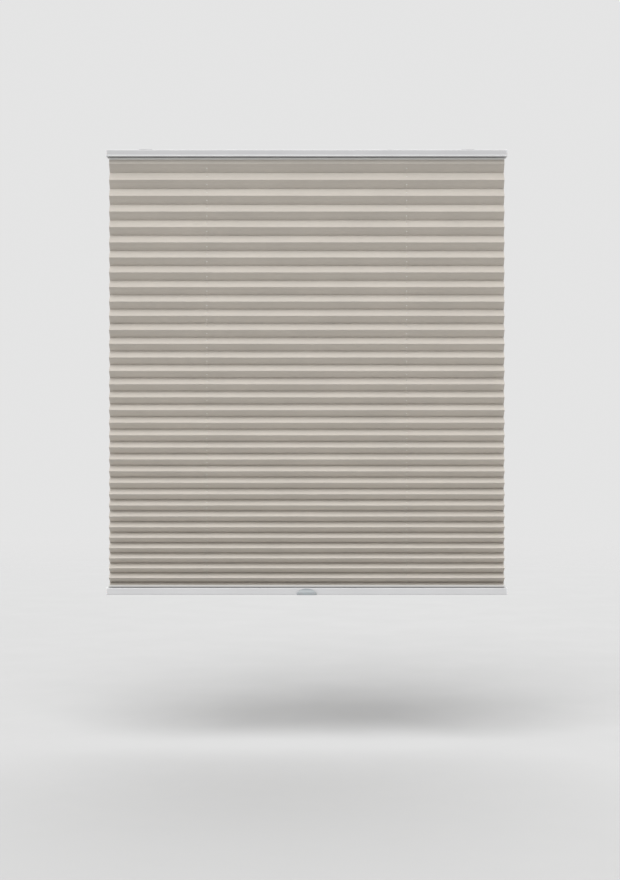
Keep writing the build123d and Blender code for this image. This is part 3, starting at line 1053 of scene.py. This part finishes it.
# ------------------------------------------------------------------ the thumb grip
class BLIND_OT_thumb_grip(bpy.types.Operator):
    """Add the thumb grip: its moulding with softly rounded edges."""
    bl_idname = "blind.thumb_grip"
    bl_label = "Thumb Grip"

    def execute(self, context):
        piece = copy_of("thumb_grip", "thumb_grip_moulding")
        round_edge = piece.modifiers.new("rounded edges", "BEVEL")
        round_edge.width = 0.00045
        round_edge.segments = 3
        round_edge.limit_method = "ANGLE"
        round_edge.angle_limit = math.radians(40)
        apply_modifiers(piece)
        smooth(piece, 40)
        colour = tint(context.scene.pleated_blind.finish.grip)
        paint(piece, moulded("grip_moulding", colour, roughness=0.42))
        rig.ride(piece, "bottom")
        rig.replaces(piece, "thumb_grip")
        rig.slot(piece, "grip")
        return {"FINISHED"}


# ------------------------------------------------------------------ rails and fittings
class BLIND_OT_rails_and_fittings(bpy.types.Operator):
    """Finish the rails, end caps, strips, clips and lift gear."""
    bl_idname = "blind.rails_and_fittings"
    bl_label = "Rails and Fittings"

    def execute(self, context):
        finish = context.scene.pleated_blind.finish
        rail = powder_coat("rail_powder_coat", tint(finish.rail))
        cap = moulded("end_cap_moulding", tint(finish.cap), roughness=0.4)
        strip = extruded_plastic("strip_extrusion", tint(finish.strip))
        gear = moulded("lift_gear_moulding", tint(finish.gear))
        plate = zinc_plate("clip_zinc_plate", tint(finish.steel))
        bar = zinc_plate("shaft_drawn_steel", tint(finish.steel, 0.9), brushed=(6.0, 1500.0, 1500.0))
        finishes = {
            "head_rail": rail, "bottom_rail": rail, "head_end_cap": cap, "bottom_end_cap": cap,
            "head_fabric_strip": strip, "bottom_fabric_strip": strip, "fixing_clip": plate, "lift_shaft": bar,
            "cord_spool": gear, "spool_cradle": gear, "cord_eyelet": gear, "spring_fixed_plug": gear,
            "spring_drive_plug": gear, "cord_anchor": gear,
        }
        for node, piece in frame["nodes"].items():
            material = finishes.get(node.removesuffix("_left").removesuffix("_right"))
            if material:
                paint(piece, material)
        return {"FINISHED"}


# ------------------------------------------------------------------ the stage
def sun(name, elevation, turn, power, spread):
    """A broad, distant soft light; turn 0 is the room side."""
    light = bpy.data.lights.new(name, "SUN")
    light.energy = power
    light.angle = math.radians(spread)
    holder = bpy.data.objects.new(name, light)
    holder.rotation_euler = (math.radians(90 - elevation), 0, math.radians(turn))
    bpy.context.scene.collection.objects.link(holder)


def low_light(floor_drop):
    """A wide, faint light just over the floor, that lifts the undersides and isn't seen itself."""
    light = bpy.data.lights.new("low_light", "AREA")
    light.shape = "RECTANGLE"
    light.size = 2.4
    light.size_y = 0.4
    light.energy = 4.5
    holder = bpy.data.objects.new("low_light", light)
    holder.location = (0, -0.6, floor_drop + 0.05)
    holder.rotation_euler = (math.pi, 0, 0)
    holder.visible_camera = False
    bpy.context.scene.collection.objects.link(holder)


def studio_air():
    """Even light from all around, with a brighter backdrop for the camera alone."""
    world = bpy.data.worlds.new("studio_air")
    world.use_nodes = True
    tree = world.node_tree
    air = tree.nodes["Background"]
    air.inputs["Strength"].default_value = 0.40
    air.inputs["Color"].default_value = (1.0, 1.0, 1.0, 1)
    backdrop = tree.nodes.new("ShaderNodeBackground")
    backdrop.inputs["Strength"].default_value = 0.78
    backdrop.inputs["Color"].default_value = (1.0, 1.0, 1.0, 1)
    path = tree.nodes.new("ShaderNodeLightPath")
    mix = tree.nodes.new("ShaderNodeMixShader")
    tree.links.new(path.outputs["Is Camera Ray"], mix.inputs["Fac"])
    tree.links.new(air.outputs["Background"], mix.inputs[1])
    tree.links.new(backdrop.outputs["Background"], mix.inputs[2])
    tree.links.new(mix.outputs["Shader"], tree.nodes["World Output"].inputs["Surface"])
    return world


class BLIND_OT_stage(bpy.types.Operator):
    """Add the floor, the soft lights and the camera."""
    bl_idname = "blind.stage"
    bl_label = "Stage"

    def execute(self, context):
        settings = context.scene.pleated_blind.stage
        deselect()
        bpy.ops.mesh.primitive_circle_add(
            vertices=128, radius=7.0, fill_type="NGON", location=(0, 0, settings.floor_drop))
        floor = context.object
        floor.name = "floor"
        place_mesh(floor)
        paint(floor, studio_floor("studio_floor"))
        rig.stage(floor)

        sun("key_light", elevation=55, turn=-12, power=3.8, spread=50)
        sun("back_light", elevation=55, turn=170, power=1.7, spread=60)
        low_light(settings.floor_drop)
        context.scene.world = studio_air()

        camera = bpy.data.cameras.new("camera")
        camera.lens = settings.lens
        camera.sensor_width = 36
        holder = bpy.data.objects.new("camera", camera)
        holder.location = (settings.eye_side, -settings.distance, settings.eye_height)
        holder.rotation_euler = (math.pi / 2, 0, 0)
        context.scene.collection.objects.link(holder)
        context.scene.camera = holder
        context.scene.view_settings.view_transform = "Standard"
        return {"FINISHED"}


# ------------------------------------------------------------------ panel and registration
class BLIND_PT_pieces(bpy.types.Panel):
    """The blind's pieces and settings."""
    bl_label = "Pleated Blind"
    bl_idname = "BLIND_PT_pieces"
    bl_space_type = "VIEW_3D"
    bl_region_type = "UI"
    bl_category = "Blind"

    def draw(self, context):
        blind = context.scene.pleated_blind
        for operator in OPERATORS:
            self.layout.operator(operator.bl_idname)
        for group in (blind.rail, blind.sheet, blind.cord, blind.spring, blind.finish, blind.stage):
            box = self.layout.box()
            for name in group.__annotations__:
                box.prop(group, name)


OPERATORS = (
    BLIND_OT_stage,
    BLIND_OT_head_rail,
    BLIND_OT_head_strip,
    BLIND_OT_pleated_sheet,
    BLIND_OT_lift_cords,
    BLIND_OT_lift_spring,
    BLIND_OT_thumb_grip,
    BLIND_OT_rails_and_fittings,
)
SETTINGS = (
    RailSettings,
    SheetSettings,
    CordSettings,
    SpringSettings,
    FinishSettings,
    StageSettings,
    BlindSettings,
)


def register():
    """Makes the settings, operators and panel known."""
    for item in (*SETTINGS, *OPERATORS, BLIND_PT_pieces):
        bpy.utils.register_class(item)
    bpy.types.Scene.pleated_blind = PointerProperty(type=BlindSettings)


def unregister():
    """Takes them away again."""
    del bpy.types.Scene.pleated_blind
    for item in (BLIND_PT_pieces, *reversed(OPERATORS), *reversed(SETTINGS)):
        bpy.utils.unregister_class(item)


def main():
    """Builds the whole blind and notes how big it came out."""
    register()
    bpy.ops.blind.stage()
    bpy.ops.blind.head_rail()
    bpy.ops.blind.head_strip()
    bpy.ops.blind.pleated_sheet()
    bpy.ops.blind.lift_cords()
    bpy.ops.blind.lift_spring()
    bpy.ops.blind.thumb_grip()
    bpy.ops.blind.rails_and_fittings()
    deselect()
    low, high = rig.bounds()
    sizes = {"cad": [list(cad_low), list(cad_high)], "visual": [list(low), list(high)]}
    with open("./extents.json", "w") as file:
        json.dump(sizes, file)


if __name__ == "__main__":
    main()
